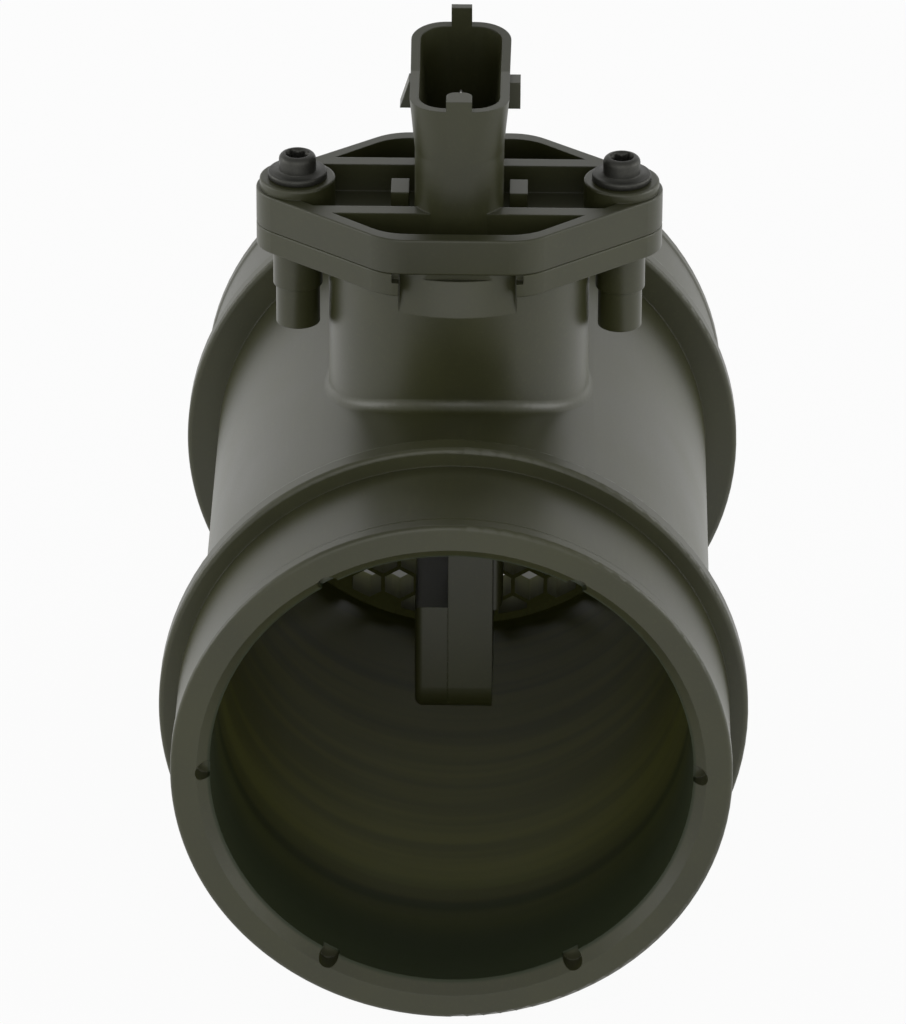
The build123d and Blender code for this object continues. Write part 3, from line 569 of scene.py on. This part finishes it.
def screw_mesh(name, node, metals):
    """A washer-head screw as one surface of two parameters.

    The first runs along a profile of (radius, height) from the middle of the recess's floor, up
    its wall, over head and washer, and down the shank to the tip.  The second is the angle.  The
    recess's radius is a mean plus a cosine with six waves.  The thread's radius is the root plus
    a clipped cosine of the height in pitches less the angle in turns, so its crest is a helix.
    """
    low, high = (np.array(end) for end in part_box(node))
    middle = (low + high) / 2
    head_top, tip = high[2], low[2]
    washer_r = (high[0] - low[0]) / 2
    head_h, washer_t = 2.6 * MM, 1.0 * MM
    seat = head_top - head_h - washer_t
    head_r, shank_r, dish_r = 2.7 * MM, 2.0 * MM, 1.75 * MM
    head_round, washer_round = 0.85 * MM, 0.33 * MM
    floor = head_top - 1.6 * MM
    lobes, lobe_mean, lobe_wave = 6, 1.48 * MM, 0.22 * MM
    rows_a_turn, spokes = 14, 60
    root_r = shank_r - metals.thread
    neck, cone = seat - 1.2 * MM, tip + 1.6 * MM
    turns_of_thread = (neck - cone) / metals.pitch
    recess = np.concatenate([
        between([(NEEDLE, floor - 0.3 * MM), (lobe_mean, floor)], 5),
        between([(lobe_mean, floor), (lobe_mean, head_top - 0.15 * MM)], 5)])
    outside = np.concatenate([
        between([(dish_r, head_top), (head_r - head_round, head_top)], 4),
        corner((head_r - head_round, head_top - head_round), head_round, 90, 0),
        between([(head_r, seat + washer_t + 0.2 * MM), (head_r, seat + washer_t)], 3),
        corner((washer_r - washer_round, seat + washer_t - washer_round), washer_round, 90, 0),
        between([(washer_r, seat + 0.1 * MM), (washer_r - 0.1 * MM, seat)], 3),
        between([(washer_r - 0.1 * MM, seat), (shank_r, seat)], 4),
        between([(shank_r, seat), (shank_r, neck)], 4)])
    thread_z = np.linspace(neck, cone, int(turns_of_thread * rows_a_turn))
    thread = np.stack([np.full_like(thread_z, shank_r), thread_z], axis=-1)
    end = np.concatenate([
        between([(root_r, cone), (root_r * 0.6, tip)], 5), np.array([[NEEDLE, tip]])])
    profile = np.concatenate([recess, outside, thread, end])
    angle = np.linspace(0, 2 * math.pi, spokes, endpoint=False)
    radius = np.repeat(profile[:, :1], angle.size, axis=1)
    height = np.repeat(profile[:, 1:], angle.size, axis=1)
    walls = slice(1, len(recess))
    radius[walls] += lobe_wave * np.cos(lobes * angle) * (radius[walls] / lobe_mean)
    rows = slice(len(recess) + len(outside), len(recess) + len(outside) + len(thread))
    phase = (height[rows] - tip) / metals.pitch - angle / (2 * math.pi)
    crest = np.clip(0.9 * np.cos(2 * math.pi * phase) + 0.1, 0, 1)
    run_out = np.clip((neck - height[rows]) / metals.pitch, 0, 1)
    run_in = np.clip((height[rows] - cone) / metals.pitch, 0, 1)
    radius[rows] = root_r + metals.thread * crest * (run_out * run_in)
    points = np.stack(
        [middle[0] + radius * np.cos(angle), middle[1] + radius * np.sin(angle), height], axis=-1)
    return sheet_mesh(name, points, round_across=True)


# ---------------------------------------------------------------- operators
class AIRFLOW_OT_duct(bpy.types.Operator):
    """Give the duct its moulded skin."""
    bl_idname = "airflow.duct"
    bl_label = "Duct"

    def execute(self, context):
        plastics = context.scene.airflow_plastics
        coat(moulded("duct_plastic", plastics.duct, plastics, gloss=0.05, bore=BORE_R), "tube_housing")
        return {"FINISHED"}


class AIRFLOW_OT_module(bpy.types.Operator):
    """Give the module, its stalk and its covers their moulded skins."""
    bl_idname = "airflow.module"
    bl_label = "Plug-in module"

    def execute(self, context):
        plastics = context.scene.airflow_plastics
        coat(moulded("module_plastic", plastics.module, plastics, gloss=0.04), "sensor_housing")
        cover = moulded("cover_plastic", plastics.cover, plastics, gloss=0.06)
        coat(cover, "electronics_cover", "channel_cover")
        return {"FINISHED"}


class AIRFLOW_OT_grid(bpy.types.Operator):
    """Give the flow grid and its ring their moulded skin."""
    bl_idname = "airflow.grid"
    bl_label = "Flow grid"

    def execute(self, context):
        plastics = context.scene.airflow_plastics
        skin = moulded(
            "grid_plastic", plastics.grid, plastics, gloss=-0.36, edge=0.10 * MM, density=1.33)
        coat(skin, "flow_grid", "grid_retaining_ring")
        return {"FINISHED"}


class AIRFLOW_OT_screws(bpy.types.Operator):
    """Make the two threaded screws and finish their sleeves."""
    bl_idname = "airflow.screws"
    bl_label = "Screws and sleeves"

    def execute(self, context):
        metals = context.scene.airflow_metals
        material = flake_coat(metals.screw)
        for side in ("left", "right"):
            node = f"flange_screw_{side}"
            screw = placed(screw_mesh(f"threaded_screw_{side}", node, metals), material)
            screw.data.polygons.foreach_set("use_smooth", np.ones(len(screw.data.polygons), bool))
            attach(screw, BODY)
            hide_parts(node)
        coat(turned_steel(metals.sleeve), "clamp_sleeve_left", "clamp_sleeve_right")
        return {"FINISHED"}


class AIRFLOW_OT_terminals(bpy.types.Operator):
    """Tin the connector blades."""
    bl_idname = "airflow.terminals"
    bl_label = "Terminals"

    def execute(self, context):
        blades = sorted(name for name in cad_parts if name.startswith("terminal_"))
        if not blades:
            raise RuntimeError("the part has no terminals")
        coat(tinned("terminal_tin", context.scene.airflow_metals.tin), *blades)
        return {"FINISHED"}


class AIRFLOW_OT_circuit(bpy.types.Operator):
    """Finish the circuit, the sensing chip and the thermistor."""
    bl_idname = "airflow.circuit"
    bl_label = "Circuit"

    def execute(self, context):
        circuit = context.scene.airflow_circuit
        metals = context.scene.airflow_metals
        plastics = context.scene.airflow_plastics
        coat(rolled_sheet(metals.sheet), "base_plate")
        coat(printed_ceramic(circuit.ceramic, circuit.track), "hybrid_board")
        coat(epoxy(circuit.epoxy), "signal_chip")
        coat(chip_capacitor(circuit.dielectric, metals.tin), "capacitor_1", "capacitor_2")
        coat(moulded("carrier_plastic", plastics.carrier, plastics, edge=0.10 * MM), "sensor_carrier")
        coat(sensing_silicon(circuit.silicon), "sensing_chip")
        coat(glazed_bead(circuit.bead, metals.tin), "air_thermistor")
        return {"FINISHED"}


class AIRFLOW_OT_seal(bpy.types.Operator):
    """Finish the plug's O-ring."""
    bl_idname = "airflow.seal"
    bl_label = "Seal"

    def execute(self, context):
        coat(rubber(context.scene.airflow_circuit.rubber), "plug_seal")
        return {"FINISHED"}


def add_lamp(name, target, place, width, height, power, in_gloss):
    """A soft lamp that faces the target."""
    data = bpy.data.lights.new(name, "AREA")
    data.shape = "RECTANGLE"
    data.size = width
    data.size_y = height
    data.energy = power
    lamp = bpy.data.objects.new(name, data)
    lamp.location = place
    lamp.rotation_euler = (Vector(target) - Vector(place)).to_track_quat("-Z", "Y").to_euler()
    lamp.visible_glossy = in_gloss
    bpy.context.scene.collection.objects.link(lamp)


def add_camera(studio):
    """A camera set by elevation, yaw and roll about its target."""
    up_share, flat_share = math.sin(studio.elevation), math.cos(studio.elevation)
    back = Vector((math.sin(studio.yaw) * flat_share, -math.cos(studio.yaw) * flat_share, up_share))
    right = (-back).cross(Vector((0, 0, 1))).normalized()
    up = back.cross(right)
    across = math.cos(studio.roll) * right + math.sin(studio.roll) * up
    upward = math.cos(studio.roll) * up - math.sin(studio.roll) * right
    turn = Matrix((across, upward, back)).transposed().to_4x4()
    data = bpy.data.cameras.new("studio_camera")
    data.sensor_fit = "HORIZONTAL"
    data.lens = studio.focal_pixels * data.sensor_width / IMAGE_SIZE[0]
    camera = bpy.data.objects.new("studio_camera", data)
    camera.matrix_world = Matrix.Translation(Vector(studio.target) + back * studio.distance) @ turn
    bpy.context.scene.collection.objects.link(camera)
    bpy.context.scene.camera = camera


def light_world(ambient, zenith, ceiling):
    """White to the camera, white in gloss up to a dim ceiling, and dimmer on matt surfaces."""
    world = bpy.data.worlds.new("studio_world")
    sky = Tree(world)
    up = sky.axes(sky.node("ShaderNodeTexCoord", {}, {}, "Generated"))[2]
    matt = ambient + up.over(0.0, 1.0) * (zenith - ambient)
    gloss = 1 - up.over(0.30, 0.85) * (1 - ceiling)
    through, glossy, seen = sky.ray_kinds()
    unseen = matt + sky.maths("MAXIMUM", glossy, through) * (gloss - matt)
    strength = unseen + seen * (1 - unseen)
    light = sky.node("ShaderNodeBackground", {}, {"Color": PAPER_WHITE, "Strength": strength})
    sky.node("ShaderNodeOutputWorld", {}, {"Surface": light}, None)
    bpy.context.scene.world = world


def floor_mesh(level, rings=24, spokes=48):
    """A flat disc: its radius is the reach times the first parameter squared, the second its angle."""
    share = np.linspace(0.002, 1, rings)[:, None] ** 2
    angle = np.linspace(0, 2 * math.pi, spokes, endpoint=False)[None, :]
    radius = FLOOR_REACH * share
    flat = np.full((rings, spokes), level)
    points = np.stack([radius * np.cos(angle), radius * np.sin(angle), flat], axis=-1)
    return sheet_mesh("studio_floor", points[::-1], round_across=True)


class AIRFLOW_OT_studio(bpy.types.Operator):
    """Set up the floor, the lamps, the world and the camera."""
    bl_idname = "airflow.studio"
    bl_label = "Studio"

    def execute(self, context):
        studio = context.scene.airflow_studio
        middle = (Vector(CAD_BOX[0]) + Vector(CAD_BOX[1])) / 2
        placed(floor_mesh(CAD_BOX[0][2]), pale_floor(studio.floor, studio.paper))
        for name, (place, width, height, power, in_gloss) in LAMPS.items():
            add_lamp(name, middle, place, width, height, getattr(studio, power), in_gloss)
        light_world(studio.ambient, studio.zenith, studio.ceiling)
        add_camera(studio)
        context.scene.view_settings.view_transform = "Standard"
        return {"FINISHED"}


OPERATORS = (
    AIRFLOW_OT_studio, AIRFLOW_OT_duct, AIRFLOW_OT_module, AIRFLOW_OT_grid, AIRFLOW_OT_screws,
    AIRFLOW_OT_terminals, AIRFLOW_OT_circuit, AIRFLOW_OT_seal,
)
SETTINGS = {
    "airflow_plastics": AirflowPlastics,
    "airflow_metals": AirflowMetals,
    "airflow_circuit": AirflowCircuit,
    "airflow_studio": AirflowStudio,
}


class AIRFLOW_PT_panel(bpy.types.Panel):
    """Lists the pieces' operators and their settings."""
    bl_idname = "AIRFLOW_PT_panel"
    bl_label = "Mass airflow sensor"
    bl_space_type = "VIEW_3D"
    bl_region_type = "UI"
    bl_category = "Airflow"

    def draw(self, context):
        for operator in OPERATORS:
            self.layout.operator(operator.bl_idname, text=operator.bl_label)
        for name, group in SETTINGS.items():
            box = self.layout.box()
            for setting in group.__annotations__:
                box.prop(getattr(context.scene, name), setting)


def register():
    """Registers the settings, the operators and the panel."""
    for name, group in SETTINGS.items():
        bpy.utils.register_class(group)
        setattr(bpy.types.Scene, name, bpy.props.PointerProperty(type=group))
    for operator in OPERATORS:
        bpy.utils.register_class(operator)
    bpy.utils.register_class(AIRFLOW_PT_panel)


def unregister():
    """Takes away what register added."""
    bpy.utils.unregister_class(AIRFLOW_PT_panel)
    for operator in reversed(OPERATORS):
        bpy.utils.unregister_class(operator)
    for name, group in SETTINGS.items():
        delattr(bpy.types.Scene, name)
        bpy.utils.unregister_class(group)


def main():
    """Registers the add-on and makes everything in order."""
    register()
    for operator in OPERATORS:
        group, name = operator.bl_idname.split(".")
        getattr(getattr(bpy.ops, group), name)()


if __name__ == "__main__":
    main()
